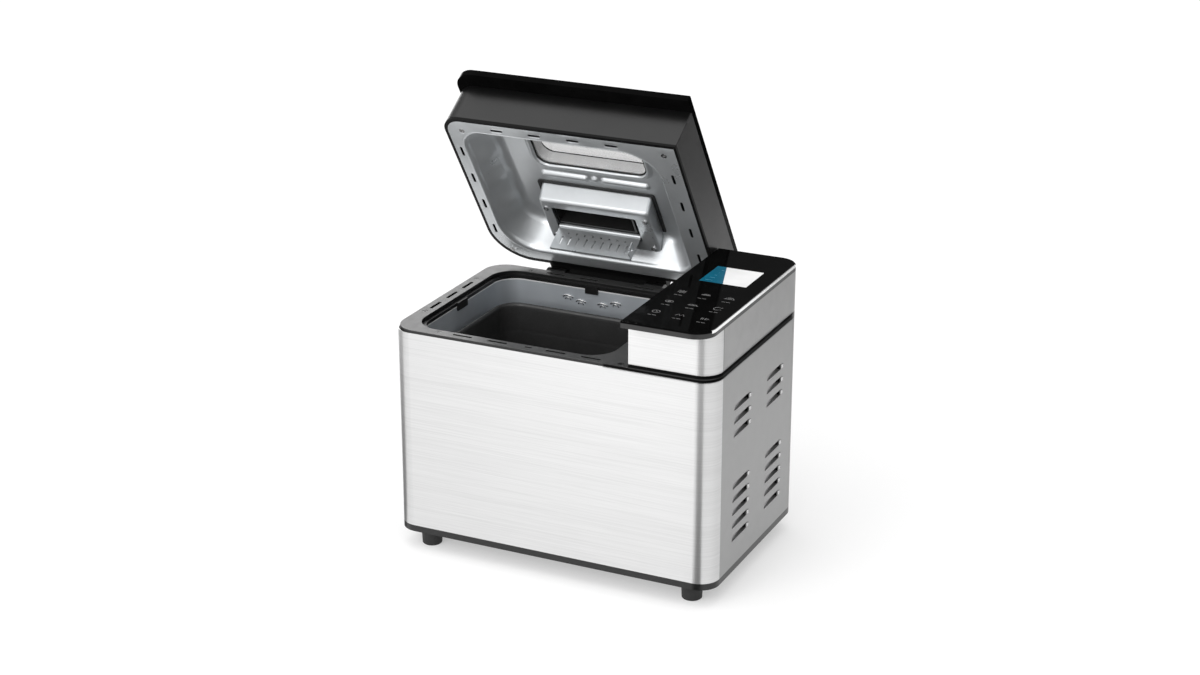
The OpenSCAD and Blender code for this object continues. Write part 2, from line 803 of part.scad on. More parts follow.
module lid_liner() {
    color(alloy) opened() difference() {
        union() {
            slab(flange, [18, 1, 1, 42], lid_low, lid_low + liner_t);
            basin(liner_t);
        }
        basin(0);
        slab(window, [12, 12, 12, 12], basin_top - cut, basin_top + 3);
        block([chute[0] - 6, 20, box_low + 3], [chute[2] + 4, 74, basin_top + 3]);
        for (x = lid_row_x) translate([x, -105.2, lid_low - cut]) slot(lid_slot, 3);
        for (x = [-169, 73], y = lid_column_y) translate([x, y, lid_low - cut]) slot(lid_slot, 3, true);
        for (p = lid_screw_at) translate([p[0], p[1], lid_low - cut]) cylinder(h = 3, r = 3.1);
    }
}

module lid_top_plate() {
    plate = [-half_w, panel_front, housing_x - 1, 111.5];
    color(black) opened() difference() {
        slab(plate, [22, 1, 1, 45], lid_high, panel_top);
        slab(grow(window, 8), [18, 18, 18, 18], lid_high + 3, panel_top + cut);
        slab(grow(window, 2), [14, 14, 14, 14], lid_high - cut, panel_top + cut);
        block([chute[0] - 4, 20, lid_high - cut], [-1, 72, panel_top + cut]);
        block([cover[0] - 0.4, cover[1] - 0.4, panel_top - 2.4], [cover[2] + 0.4, cover_axis[0] + 4, panel_top + cut]);
        rod_x(cover[0] - 0.4, cover[2] + 0.4, cover_axis[0], cover_axis[1], 2.2);
        rod_x(cover[0] - 3, cover[2] + 3, cover_axis[0], cover_axis[1], trunnion_r + run);
    }
}

module window_panes() {
    color([0.8, 0.85, 0.87, 0.35]) opened() {
        slab(grow(window, 3), [14, 14, 14, 14], basin_top + liner_t, basin_top + 4);
        slab(grow(window, 7.7), [17.7, 17.7, 17.7, 17.7], lid_high + 3, panel_top);
    }
}

module window_frame() {
    color([0.86, 0.86, 0.87]) opened() difference() {
        slab(grow(window, 3), [14, 14, 14, 14], basin_top + 4, lid_high);
        slab(window, [12, 12, 12, 12], basin_top, lid_high + cut);
    }
}

module lid_screws() {
    color(steel) opened() {
        for (p = lid_screw_at) translate([p[0], p[1], lid_low + 1.2]) mirror([0, 0, 1]) screw();
        for (x = [box[0] + 7, box[2] - 6], y = [28, 72]) translate([x, y, box_low]) mirror([0, 0, 1]) screw(2.9, 1.4, 3);
    }
}

module dispenser_bin() {
    color(charcoal) opened() difference() {
        union() {
            block([chute[0], 24, box_low + 4.5], [-3, 55, lid_high]);
            block([chute[0], 24, box_low + 8.5], [-3, 70, lid_high]);
        }
        block([chute[0] + 2, 26, box_low + 4], [-5, 53, lid_high + cut]);
        block([chute[0] + 2, 26, box_low + 20], [-5, 68, lid_high + cut]);
    }
}

module dispenser_housing() {
    color(steel) opened() {
        difference() {
            block([box[0], box[1], box_low], [box[2], box[3] - 0.5, box_low + 1]);
            block([chute[0], chute[1], box_low - cut], [chute[2], flap_y + 5.5, box_low + 3]);
            for (x = [box[0] + 7, box[2] - 6], y = [28, 72]) translate([x, y, box_low - cut]) cylinder(h = 3, r = 1.6);
        }
        translate([box[0], 0, 0]) rotate([90, 0, 90]) linear_extrude(box[2] - box[0]) polygon([
            [box[1], box_low], [box[1] + 1.2, box_low + 1], [7.2, basin_top], [6, basin_top]
        ]);
        for (x = [box[0], box[2] - 1]) translate([x, 0, 0]) rotate([90, 0, 90]) linear_extrude(1) polygon([
            [box[1], box_low], [box[3] - 0.5, box_low], [65, basin_top - 0.2], [6, basin_top]
        ]);
        for (x = [chute[0] - 3, chute[2] + 1]) difference() {
            block([x, flap_y - 3.5, box_low + 1], [x + 2, flap_y + 3.5, flap_z + 3.5]);
            rod_x(x - cut, x + 3, flap_y + 1.5, flap_z + 1.5, 1.55);
        }
    }
}

module dispenser_gasket() {
    color(charcoal) opened() difference() {
        ring([-113, 2, 24, 84], [4, 4, 4, 4], 3.8, basin_top - 1.5, basin_top);
        block([-114, 62, basin_top - 2], [25, 85, basin_top + cut]);
    }
}

module release_solenoid() {
    color([0.72, 0.4, 0.2]) opened() difference() {
        union() {
            block([6, latch_y - 8, latch_z - 6], [8, latch_y + 8, basin_top]);
            block([17, latch_y - 8, latch_z - 6], [18.5, latch_y + 8, basin_top]);
            rod_x(8, 17, latch_y, latch_z, 5.5);
        }
        rod_x(5, 17, latch_y, latch_z, 1.55);
    }
}

module latch_pin() {
    color(steel) opened() rod_x(1.8, 16.5, latch_y, latch_z, 1.5);
}

// The flap as it hangs open, square to the mouth of the dispenser. The
// latch pin holds it by the ear when it is shut.
module dispenser_flap() {
    pin = [flap_y + 1.5, flap_z + 1.5];
    tip = flap_z - 30;
    left = chute[0] + 1;
    right = chute[2] - 2;
    color(alloy) opened() difference() {
        union() {
            block([left, pin[0] - 0.5, tip], [right, pin[0] + 0.5, pin[1]]);
            rod_x(left, right, pin[0], pin[1], 3);
            block([left, pin[0] - 0.5, tip], [right, pin[0] + 2.5, tip + 1]);
            block([right - 1, pin[0] - 14, tip + 2.5], [right, pin[0] + 0.5, tip + 13]);
            block([right - 1, pin[0] - 11, tip], [right, pin[0] + 0.5, tip + 3]);
        }
        rod_x(left - cut, right + cut, pin[0], pin[1], 1.55);
        rod_x(right - 3, right + cut, pin[0] - latch_z + pin[1], pin[1] - pin[0] + latch_y, 2.2);
        for (i = [0 : 8]) translate([left + 9 + i * 9.6, pin[0] - 2, flap_z - 18]) rotate([-90, 0, 0]) slot([11, 2], 4, true);
        for (i = [0 : 7]) rod_y(pin[0] - 2, pin[0] + 2, left + 13.8 + i * 9.6, flap_z - 8, 1.1);
    }
}

module flap_pin() {
    color(charcoal) opened() rod_x(chute[0] - 3, chute[2] + 3, flap_y + 1.5, flap_z + 1.5, 1.5);
}

module filler_cover() {
    color(charcoal) opened() {
        difference() {
            slab(cover, [6, 6, 0, 0], panel_top - 2, panel_top);
            translate([(cover[0] + cover[2]) / 2, cover[1] + 4, panel_top - 1]) slot([30, 5], 3);
        }
        rod_x(cover[0], cover[2], cover_axis[0], cover_axis[1], 1.8);
        rod_x(cover[0] - 2.5, cover[2] + 2.5, cover_axis[0], cover_axis[1], trunnion_r);
        block([cover[0], cover[3] - cut, panel_top - 2], [cover[2], cover_axis[0], panel_top - 0.2]);
    }
}

module hinge_knuckle() {
    color(black) opened() difference() {
        union() {
            rod_x(knuckle[0], knuckle[1], hinge_y, hinge_z, 5);
            block([knuckle[0], hinge_y - 4, hinge_z], [knuckle[1], hinge_y + 4, 262]);
            block([hinge_ends[0], lid[3], lid_low + 1], [hinge_ends[1], hinge_y + 4, 266]);
        }
        rod_x(knuckle[0] - cut, knuckle[1] + cut, hinge_y, hinge_z, 3 + run);
    }
}

module hinge_brackets() {
    color(black) for (x = [[hinge_ends[0], knuckle[0] - 0.5], [knuckle[1] + 0.5, hinge_ends[1]]]) difference() {
        union() {
            block([x[0], half_d, 205], [x[1], half_d + 4, 246]);
            block([x[0], half_d, 228], [x[1], hinge_y + 5, 238]);
            rod_x(x[0], x[1], hinge_y, hinge_z, barrel_r);
        }
        block([x[0] - cut, half_d - 10, 200], [x[1] + cut, half_d, 250]);
        rod_x(x[0] - cut, x[1] + cut, hinge_y, hinge_z, 3);
        for (at = bracket_screw_x) rod_y(half_d - cut, half_d + 5, at, bracket_screw_z, 1.6);
    }
}

module hinge_pin() {
    color(steel) rod_x(hinge_ends[0] + 1, hinge_ends[1] - 1, hinge_y, hinge_z, 3);
}

base_tray();
feet();
front_wrap();
left_side_panel();
right_side_panel();
rear_panel();
case_screws();
cord_gland();
top_deck();
control_skin();
control_frame();
control_bezel();
bezel_trim();
control_glass();
display_screen();
main_board();
oven_chamber();
chamber_supports();
heat_shield();
heating_element();
temp_probe();
bearing_housing();
drive_bushes();
motor_stator();
motor_coils();
motor_bracket();
drive_belt();
pan_seat();
hinge_brackets();
hinge_pin();
drive_shaft();
driven_pulley();
drive_dog();
motor_rotor();
motor_shaft();
motor_pulley();
bread_pan();
pan_base();
pan_bush();
handle_lugs();
pan_handle();
pan_shaft();
pan_dog();
kneading_paddle();
lid_shell();
lid_rim();
lid_liner();
lid_top_plate();
window_panes();
window_frame();
lid_screws();
dispenser_bin();
dispenser_housing();
dispenser_gasket();
release_solenoid();
hinge_knuckle();
dispenser_flap();
flap_pin();
latch_pin();
filler_cover();
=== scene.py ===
"""Looks of the bread machine: studio, procedural materials and the detailed pieces around its CAD frame."""

import json
import math

import bmesh
import bpy
from mathutils import Euler, Matrix, Vector
from mathutils.geometry import delaunay_2d_cdt


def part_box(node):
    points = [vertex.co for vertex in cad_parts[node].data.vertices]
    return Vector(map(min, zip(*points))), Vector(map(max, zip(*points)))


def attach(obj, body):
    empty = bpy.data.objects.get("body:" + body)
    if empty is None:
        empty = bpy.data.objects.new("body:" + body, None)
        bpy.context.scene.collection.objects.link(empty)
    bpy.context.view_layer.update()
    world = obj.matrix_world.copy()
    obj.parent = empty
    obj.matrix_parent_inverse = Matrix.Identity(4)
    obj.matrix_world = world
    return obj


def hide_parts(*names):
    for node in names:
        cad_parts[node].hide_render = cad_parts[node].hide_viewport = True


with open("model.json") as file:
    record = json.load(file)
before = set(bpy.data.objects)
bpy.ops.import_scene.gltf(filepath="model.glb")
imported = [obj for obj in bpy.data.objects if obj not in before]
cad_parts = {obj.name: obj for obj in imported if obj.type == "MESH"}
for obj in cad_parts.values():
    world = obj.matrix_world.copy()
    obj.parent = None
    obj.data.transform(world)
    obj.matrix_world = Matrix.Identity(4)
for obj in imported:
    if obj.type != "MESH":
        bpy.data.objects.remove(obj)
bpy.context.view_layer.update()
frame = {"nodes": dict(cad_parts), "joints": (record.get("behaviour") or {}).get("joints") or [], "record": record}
NODES = frame["nodes"]
MM = 0.001


# --- Node helpers -----------------------------------------------------------


def srgb(*levels):
    """Levels of 0 to 255 as a linear colour."""
    linear = [(c / 255 / 12.92) if c <= 10 else ((c / 255 + 0.055) / 1.055) ** 2.4 for c in levels]
    return (*linear, 1.0)


def grey(level):
    return srgb(level, level, level)


class Shader:
    """A material around one Principled BSDF, with its patterns in the row frame's metres."""

    def __init__(self, name, **inputs):
        self.mat = bpy.data.materials.new(name)
        self.mat.use_nodes = True
        self.tree = self.mat.node_tree
        self.bsdf = self.tree.nodes["Principled BSDF"]
        self.coords = self.new("ShaderNodeTexCoord").outputs["Object"]
        for key, value in inputs.items():
            self.bsdf.inputs[key.replace("_", " ").title().replace("Ior", "IOR")].default_value = value

    def new(self, kind, **attributes):
        node = self.tree.nodes.new(kind)
        for key, value in attributes.items():
            setattr(node, key, value)
        return node

    def link(self, source, target):
        self.tree.links.new(source, target)

    def mapped(self, scale=(1, 1, 1)):
        node = self.new("ShaderNodeMapping")
        self.link(self.coords, node.inputs["Vector"])
        node.inputs["Scale"].default_value = scale
        return node.outputs["Vector"]

    def noise(self, scale, detail=3.0, stretch=(1, 1, 1), roughness=0.5):
        node = self.new("ShaderNodeTexNoise")
        self.link(self.mapped(stretch), node.inputs["Vector"])
        node.inputs["Scale"].default_value = scale
        node.inputs["Detail"].default_value = detail
        node.inputs["Roughness"].default_value = roughness
        return node.outputs["Fac"]

    def cells(self, scale, feature="F1"):
        node = self.new("ShaderNodeTexVoronoi", feature=feature)
        self.link(self.mapped(), node.inputs["Vector"])
        node.inputs["Scale"].default_value = scale
        return node.outputs["Distance"]

    def ramp(self, source, *stops):
        node = self.new("ShaderNodeValToRGB")
        self.link(source, node.inputs["Fac"])
        elements = node.color_ramp.elements
        while len(elements) < len(stops):
            elements.new(0.5)
        for element, (place, colour) in zip(elements, stops):
            element.position = place
            element.color = colour
        return node.outputs["Color"]

    def remap(self, source, low, high, start=0.3, end=0.7):
        node = self.new("ShaderNodeMapRange")
        self.link(source, node.inputs["Value"])
        for key, value in (("From Min", start), ("From Max", end), ("To Min", low), ("To Max", high)):
            node.inputs[key].default_value = value
        return node.outputs["Result"]

    def axis(self, name, low, high):
        """Runs from 0 to 1 as the x, y or z of the row frame goes from low to high."""
        node = self.new("ShaderNodeSeparateXYZ")
        self.link(self.coords, node.inputs["Vector"])
        return self.remap(node.outputs[name], 0, 1, low, high)

    def math(self, operation, a, b):
        node = self.new("ShaderNodeMath", operation=operation)
        for socket, value in zip(node.inputs, (a, b)):
            if isinstance(value, (int, float)):
                socket.default_value = value
            else:
                self.link(value, socket)
        return node.outputs[0]

    def mix(self, factor, a, b):
        node = self.new("ShaderNodeMix", data_type="RGBA")
        for index, value in ((0, factor), (6, a), (7, b)):
            if isinstance(value, (int, float, tuple)):
                node.inputs[index].default_value = value
            else:
                self.link(value, node.inputs[index])
        return node.outputs[2]

    def colour(self, source):
        self.link(source, self.bsdf.inputs["Base Color"])
        return self

    def rough(self, source):
        self.link(source, self.bsdf.inputs["Roughness"])
        return self

    def bump(self, source, distance, strength=1.0):
        node = self.new("ShaderNodeBump")
        node.inputs["Distance"].default_value = distance
        node.inputs["Strength"].default_value = strength
        self.link(source, node.inputs["Height"])
        self.link(node.outputs["Normal"], self.bsdf.inputs["Normal"])
        return self


# --- Materials --------------------------------------------------------------

HALF_WIDTH = 0.18
DECK_TOP = 0.246
OVEN_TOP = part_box("oven_chamber")[1][2]
SIDE_PAINT = ((0.3, grey(162)), (0.7, grey(170)))
# The grey of the control block's side: the side panels' paint, made lighter than SIDE_PAINT as painted light.
LIGHTENED_SKIN_PAINT = ((0.3, grey(188)), (0.7, grey(194)))
SKIN_SEAM_Y = -0.0942


def moulded(name, dark, light, rough, grain=1400, depth=0.00004, **inputs):
    """Moulded plastic or rubber: a faint cloud of colour, and a fine spark-eroded grain."""
    s = Shader(name, **inputs)
    s.colour(s.ramp(s.noise(40, 4), (0.3, dark), (0.7, light)))
    s.rough(s.remap(s.noise(30, 2), rough - 0.02, rough + 0.02))
    return s.bump(s.noise(grain, 2), depth).mat


def metal(name, dark, light, rough, grain=500, depth=0.00003, metallic=1.0):
    """Bare or lightly oxidised metal with the mottle of how it was made."""
    s = Shader(name, metallic=metallic)
    mottle = s.noise(grain, 4, roughness=0.6)
    s.colour(s.ramp(mottle, (0.3, dark), (0.7, light)))
    broad = s.noise(9, 2)
    s.rough(s.math("ADD", s.remap(mottle, rough - 0.04, rough + 0.06), s.remap(broad, -0.02, 0.03)))
    return s.bump(mottle, depth).mat


def brushed_steel(name, paint_from=None):
    """Horizontal brush lines of several lengths on bright steel, which blur reflections upwards.
    From paint_from along Y, on the right side, it is painted a pale grey, past a dark seam; that grey is lighter
    than the side panels' paint, as painted light."""
    s = Shader(name, anisotropic=0.75, anisotropic_rotation=0.25)
    tangent = s.new("ShaderNodeTangent", direction_type="RADIAL", axis="Z")
    s.link(tangent.outputs[0], s.bsdf.inputs["Tangent"])
    fine = s.noise(1, 4, (12, 12, 1500), roughness=0.6)
    middle = s.noise(1, 3, (7, 7, 620), roughness=0.6)
    broad = s.noise(1, 2, (2, 2, 90))
    lines = s.math("ADD", s.math("MULTIPLY", fine, 0.45), s.math("MULTIPLY", middle, 0.4))
    lines = s.math("ADD", lines, s.math("MULTIPLY", broad, 0.15))
    colour = s.ramp(lines, (0.36, grey(201)), (0.5, grey(209)), (0.62, grey(214)))
    rough = s.remap(lines, 0.38, 0.34, 0.36, 0.62)
    if paint_from is not None:
        on_side = s.axis("X", HALF_WIDTH - 0.0012, HALF_WIDTH - 0.001)
        painted = s.math("MULTIPLY", on_side, s.axis("Y", paint_from, paint_from + 0.0002))
        seam = s.math("MULTIPLY", painted, s.axis("Y", paint_from + 0.001, paint_from + 0.0008))
        # Painted light: the painted side is a lighter grey than the side panels' paint.
        colour = s.mix(painted, colour, s.ramp(s.noise(60, 3), *LIGHTENED_SKIN_PAINT))
        colour = s.mix(seam, colour, grey(40))
        rough = s.math("MAXIMUM", rough, s.math("MULTIPLY", painted, 0.5))
    s.colour(colour)
    s.rough(rough)
    s.bsdf.inputs["Metallic"].default_value = 1.0
    return s.bump(lines, 0.00002, 0.25).mat


def louvred_sheet():
    """The satin grey paint of the louvred side panels."""
    s = Shader("louvred_sheet", metallic=1.0)
    cloud = s.noise(60, 3)
    s.colour(s.ramp(cloud, *SIDE_PAINT))
    s.rough(s.remap(cloud, 0.46, 0.54))
    return s.bump(s.noise(1200, 2), 0.00002).mat


def oven_steel():
    """Bluish aluminised sheet, with a painted highlight: a near-white band along the top of its rim."""
    s = Shader("oven_steel", metallic=0.5)
    sheet = s.ramp(s.noise(14, 2), (0.3, srgb(172, 178, 184)), (0.7, srgb(188, 193, 198)))
    # Painted highlight: the top 1 to 1.4 mm of the rim is near white.
    s.colour(s.mix(s.axis("Z", OVEN_TOP - 0.0014, OVEN_TOP - 0.001), sheet, grey(246)))
    s.rough(s.remap(s.noise(60, 3), 0.36, 0.44))
    return s.bump(s.noise(40, 3), 0.00002).mat


def deck_plastic():
    """Charcoal plastic with a satin face; painted shade makes it black on its cut edges and on the band under the
    control block.
    """
    s = Shader("deck_plastic", specular_ior_level=0.5)
    face = s.ramp(s.noise(40, 4), (0.3, grey(58)), (0.7, grey(66)))
    # Painted shade: black below the deck's face, on its cut edges.
    painted_edge_shade = s.mix(s.axis("Z", DECK_TOP - 0.0006, DECK_TOP - 0.0003), grey(6), face)
    # Painted shade: black above the deck's face, on the band under the control block.
    s.colour(s.mix(s.axis("Z", DECK_TOP + 0.0003, DECK_TOP + 0.0007), painted_edge_shade, grey(6)))
    s.rough(s.remap(s.noise(90, 3), 0.34, 0.42))
    return s.bump(s.noise(900, 2), 0.00005).mat


def case_screw_steel():
    """Zinc-plated screws, blackened on the deck, where they show."""
    s = Shader("case_screw_steel", metallic=1.0)
    scratches = s.noise(500, 4)
    plated = s.ramp(scratches, (0.3, grey(186)), (0.7, grey(214)))
    s.colour(s.mix(s.axis("Z", DECK_TOP - 0.002, DECK_TOP - 0.0019), plated, grey(74)))
    s.rough(s.remap(scratches, 0.24, 0.32))
    return s.bump(scratches, 0.00002).mat


def glass(name):
    """Black printed glass: a deep gloss with the faintest waviness and dust."""
    s = Shader(name, ior=1.45, specular_ior_level=0.012)
    s.colour(s.ramp(s.noise(60, 3), (0.3, grey(6)), (0.7, grey(10))))
    s.rough(s.remap(s.noise(25, 4), 0.05, 0.09))
    return s.bump(s.noise(6, 1), 0.00003, 0.3).mat


def clear_glass():
    s = Shader("clear_glass", ior=1.45, transmission_weight=1.0, base_color=grey(238))
    return s.rough(s.remap(s.noise(30, 3), 0.02, 0.07)).mat


def display():
    """A back-lit display that is a little unevenly lit."""
    s = Shader("display", roughness=0.25)
    lit = s.ramp(s.noise(30, 2), (0.3, grey(212)), (0.7, grey(222)))
    s.link(lit, s.bsdf.inputs["Emission Color"])
    s.bsdf.inputs["Emission Strength"].default_value = 0.35
    return s.colour(lit).mat


def windings(name):
    """Enamelled copper wire, laid turn by turn."""
    s = Shader(name, metallic=0.9)
    wire = s.new("ShaderNodeTexWave", wave_type="RINGS", rings_direction="Z", bands_direction="Z")
    s.link(s.mapped(), wire.inputs["Vector"])
    wire.inputs["Scale"].default_value = 260
    wire.inputs["Distortion"].default_value = 1.5
    s.colour(s.ramp(wire.outputs["Fac"], (0.0, srgb(92, 44, 20)), (1.0, srgb(196, 112, 58))))
    s.rough(s.remap(s.noise(200), 0.25, 0.4))
    return s.bump(wire.outputs["Fac"], 0.0002).mat


def circuit_board():
    s = Shader("circuit_board", specular_ior_level=0.4)
    tracks = s.cells(160, "DISTANCE_TO_EDGE")
    s.colour(s.ramp(tracks, (0.0, srgb(70, 120, 74)), (0.08, srgb(28, 74, 44))))
    s.rough(s.remap(s.noise(120), 0.4, 0.6))
    return s.bump(tracks, 0.0001).mat


def coated(name):
    """Non-stick coating: charcoal, softly glittering, fine orange peel."""
    s = Shader(name, metallic=0.35)
    flakes = s.cells(2600)
    s.colour(s.ramp(flakes, (0.0, grey(96)), (0.35, grey(58)), (0.8, grey(50))))
    s.rough(s.remap(s.noise(60, 4), 0.34, 0.46))
    return s.bump(s.noise(900, 3), 0.00005).mat


MATERIALS = {
    "brushed_steel": brushed_steel("brushed_steel"),
    "side_sheet": metal("side_sheet", SIDE_PAINT[0][1], SIDE_PAINT[1][1], 0.5, 60, 0.00001),
    "black_plastic": moulded("black_plastic", grey(16), grey(22), 0.3),
    "charcoal_plastic": moulded("charcoal_plastic", grey(28), grey(36), 0.34),
    "black_glass": glass("black_glass"),
    "clear_glass": clear_glass(),
    "display": display(),
    "bright_trim": metal("bright_trim", grey(236), grey(250), 0.12),
    "pale_plastic": moulded("pale_plastic", grey(222), grey(232), 0.4),
    "lid_aluminium": metal(
        "lid_aluminium", srgb(186, 189, 191), srgb(197, 200, 202), 0.3, 24, 0.00001, metallic=0.68
    ),
    "oven_steel": oven_steel(),
    "zinc_steel": metal("zinc_steel", grey(160), grey(190), 0.34, 120, 0.00003),
    "screw_steel": metal("screw_steel", grey(186), grey(214), 0.24, 500, 0.00002),
    "heater_sheath": metal("heater_sheath", srgb(74, 70, 66), srgb(104, 96, 88), 0.45, 90),
    "pan_coating": coated("pan_coating"),
    "die_cast": metal("die_cast", grey(146), grey(168), 0.46, 700, 0.0001),
    "bronze": metal("bronze", srgb(146, 104, 58), srgb(176, 132, 78), 0.36, 900, 0.00005),
    "copper_winding": windings("copper_winding"),
    "rubber": moulded("rubber", grey(18), grey(26), 0.6, 700, 0.00008),
    "circuit_board": circuit_board(),
}
FINISHES = {
    "left_side_panel": louvred_sheet(),
    "right_side_panel": louvred_sheet(),
    "top_deck": deck_plastic(),
    "case_screws": case_screw_steel(),
    "lid_shell": moulded("lid_plastic", grey(7), grey(9), 0.3),
    "lid_rim": moulded("rim_plastic", grey(10), grey(12), 0.5, specular_ior_level=0.12),
    "hinge_knuckle": moulded("knuckle_plastic", grey(12), grey(15), 0.5, specular_ior_level=0.2),
    "control_skin": brushed_steel("control_skin_steel", SKIN_SEAM_Y),
}
for row in frame["record"]["subparts"]:
    node = NODES[row["node"]]
    node.data.materials.clear()
    node.data.materials.append(FINISHES.get(row["node"]) or MATERIALS[row["material_slot"]])


# --- Mesh helpers -----------------------------------------------------------

LID_HINGE = next(j for j in frame["joints"] if j["name"] == "lid_hinge")
HINGE_AT = Vector(LID_HINGE["pos_m"])
OPENED = (
    Matrix.Translation(HINGE_AT)
    @ Matrix.Rotation(math.radians(LID_HINGE["range_deg"][0]), 4, "X")
    @ Matrix.Translation(-HINGE_AT)
)


def piece(name, verts, faces, body, slot, lid=False, replaces=(), smooth=35.0, material=None):
    """Makes a mesh piece from points in millimetres. lid says they are those of the shut lid."""
    mesh = bpy.data.meshes.new(name)
    mesh.from_pydata([Vector(v) * MM for v in verts], [], faces)
    bm = bmesh.new()
    bm.from_mesh(mesh)
    bmesh.ops.remove_doubles(bm, verts=bm.verts, dist=0.00002)
    bmesh.ops.recalc_face_normals(bm, faces=bm.faces)
    bm.to_mesh(mesh)
    bm.free()
    if lid:
        mesh.transform(OPENED)
    mesh.shade_smooth()
    mesh.set_sharp_from_angle(angle=math.radians(smooth))
    mesh.materials.append(material or MATERIALS[slot])
    obj = bpy.data.objects.new(name, mesh)
    bpy.context.scene.collection.objects.link(obj)
    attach(obj, body)
    if replaces:
        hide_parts(*replaces)
    return obj


def even_normals(obj):
    """Large flat faces keep flat shading next to small rounds."""
    modifier = obj.modifiers.new("normals", "WEIGHTED_NORMAL")
    modifier.weight = 100
    modifier.keep_sharp = True
    return obj


def soften(name, width):
    """Rounds the sharp edges of a CAD node a little, as a mould or a polish does."""
    modifier = NODES[name].modifiers.new("edges", "BEVEL")
    modifier.width = width * MM
    modifier.segments = 2
    modifier.limit_method = "ANGLE"
    modifier.angle_limit = math.radians(50)
    modifier.harden_normals = True


class Mesh:
    """Points and faces as they are gathered, in millimetres."""

    def __init__(self):
        self.verts = []
        self.faces = []

    def add(self, verts, faces):
        start = len(self.verts)
        self.verts += [tuple(v) for v in verts]
        self.faces += [tuple(i + start for i in f) for f in faces]

    def loft(self, rings, cap_first=False, cap_last=False, skip=None):
        """Quads between rings of the same number of points. skip leaves out a quad by its middle."""
        n = len(rings[0])
        verts = [p for ring in rings for p in ring]
        faces = []
        for r in range(len(rings) - 1):
            for i in range(n):
                j = (i + 1) % n
                face = (r * n + i, r * n + j, (r + 1) * n + j, (r + 1) * n + i)
                middle = sum((Vector(verts[k]) for k in face), Vector()) / 4
                if skip is None or not skip(middle):
                    faces.append(face)
        if cap_first:
            faces.append(tuple(reversed(range(n))))
        if cap_last:
            faces.append(tuple(range((len(rings) - 1) * n, len(rings) * n)))
        self.add(verts, faces)

    def sheet(self, outer, rings=(), holes=()):
        """A triangulated sheet inside outer, through rings of shaped points, without the holes."""
        points, edges = [], []
        for ring in (outer, *rings, *holes):
            first = len(points)
            points += [Vector(p) for p in ring]
            edges += [(first + i, first + (i + 1) % len(ring)) for i in range(len(ring))]
        made = delaunay_2d_cdt([p.xy for p in points], edges, [], 0, 1e-4)
        flat, faces, origins = made[0], made[2], made[3]
        verts = [(v.x, v.y, points[o[0]].z if o else points[0].z) for v, o in zip(flat, origins)]
        kept = []
        for face in faces:
            middle = sum((flat[i] for i in face), Vector((0, 0))) / len(face)
            if inside(middle, outer) and not any(inside(middle, hole) for hole in holes):
                kept.append(tuple(face))
        self.add(verts, kept)

    def tube(self, path, radius, sides=12, closed=False):
        """A round bar along a path of points."""
        path = [Vector(p) for p in path]
        rings, normal = [], None
        n = len(path)
        for i, p in enumerate(path):
            before = path[i - 1] if i or closed else p
            after = path[(i + 1) % n] if i < n - 1 or closed else p
            along = (after - before).normalized()
            if normal is None:
                normal = along.orthogonal().normalized()
            normal = (normal - along * normal.dot(along)).normalized()
            other = along.cross(normal)
            turns = [2 * math.pi * k / sides for k in range(sides)]
            rings.append([p + radius * (math.cos(a) * normal + math.sin(a) * other) for a in turns])
        self.loft(rings + rings[:1] if closed else rings, not closed, not closed)

    def piece(self, name, body, slot, **options):
        return piece(name, self.verts, self.faces, body, slot, **options)


def inside(point, ring):
    """True if the point lies in the ring, both in plan."""
    odd = False
    for a, b in zip(ring, ring[1:] + ring[:1]):
        if (a[1] > point.y) != (b[1] > point.y):
            odd ^= point.x < (b[0] - a[0]) * (point.y - a[1]) / (b[1] - a[1]) + a[0]
    return odd


def outline(area, radii, z, turn=8, along=18, across=16):
    """A rounded rectangle at height z, anticlockwise from its front left corner's end."""
    left, front, right, rear = area
    centres = [
        (left + radii[0], front + radii[0], 180),
        (right - radii[1], front + radii[1], 270),
        (right - radii[2], rear - radii[2], 0),
        (left + radii[3], rear - radii[3], 90),
    ]
    corners = []
    for (x, y, start), r in zip(centres, radii):
        angles = [math.radians(start + 90 * i / turn) for i in range(turn + 1)]
        corners.append([(x + r * math.cos(a), y + r * math.sin(a), z) for a in angles])
    ring = []
    for i, corner in enumerate(corners):
        ring += corner
        a, b = Vector(corner[-1]), Vector(corners[(i + 1) % 4][0])
        steps = along if i % 2 == 0 else across
        ring += [tuple(a.lerp(b, k / steps)) for k in range(1, steps)]
    return ring


def grown(area, g):
    return (area[0] - g, area[1] - g, area[2] + g, area[3] + g)


def between(a, b, t):
    return [p + (q - p) * t for p, q in zip(a, b)]


def stadium(x, y, length, width, z, along_y=False, turn=8):
    """The outline of a slot with round ends."""
    r, half = width / 2, (length - width) / 2
    ring = []
    for side, start in ((1, -90), (-1, 90)):
        for i in range(turn + 1):
            a = math.radians(start + 180 * i / turn)
            ring.append((side * half + r * math.cos(a), r * math.sin(a)))
    return [(x - v, y + u, z) if along_y else (x + u, y + v, z) for u, v in ring]


def circle(x, y, r, z, n=24):
    angles = [2 * math.pi * i / n for i in range(n)]
    return [(x + r * math.cos(a), y + r * math.sin(a), z) for a in angles]


def bezier(a, b, c, steps):
    a, b, c = Vector(a), Vector(b), Vector(c)
    return [(1 - t) ** 2 * a + 2 * t * (1 - t) * b + t * t * c for t in (i / steps for i in range(steps + 1))]


def thicken(obj, thickness, offset=1.0, edge=None):
    """Gives a surface the thickness of its sheet. edge is a material of its own for the cut edges."""
    modifier = obj.modifiers.new("sheet", "SOLIDIFY")
    if edge:
        obj.data.materials.append(edge)
        modifier.material_offset_rim = 1
    modifier.thickness = thickness * MM
    modifier.offset = offset
    modifier.use_even_offset = True
    return obj


# --- Lid liner --------------------------------------------------------------

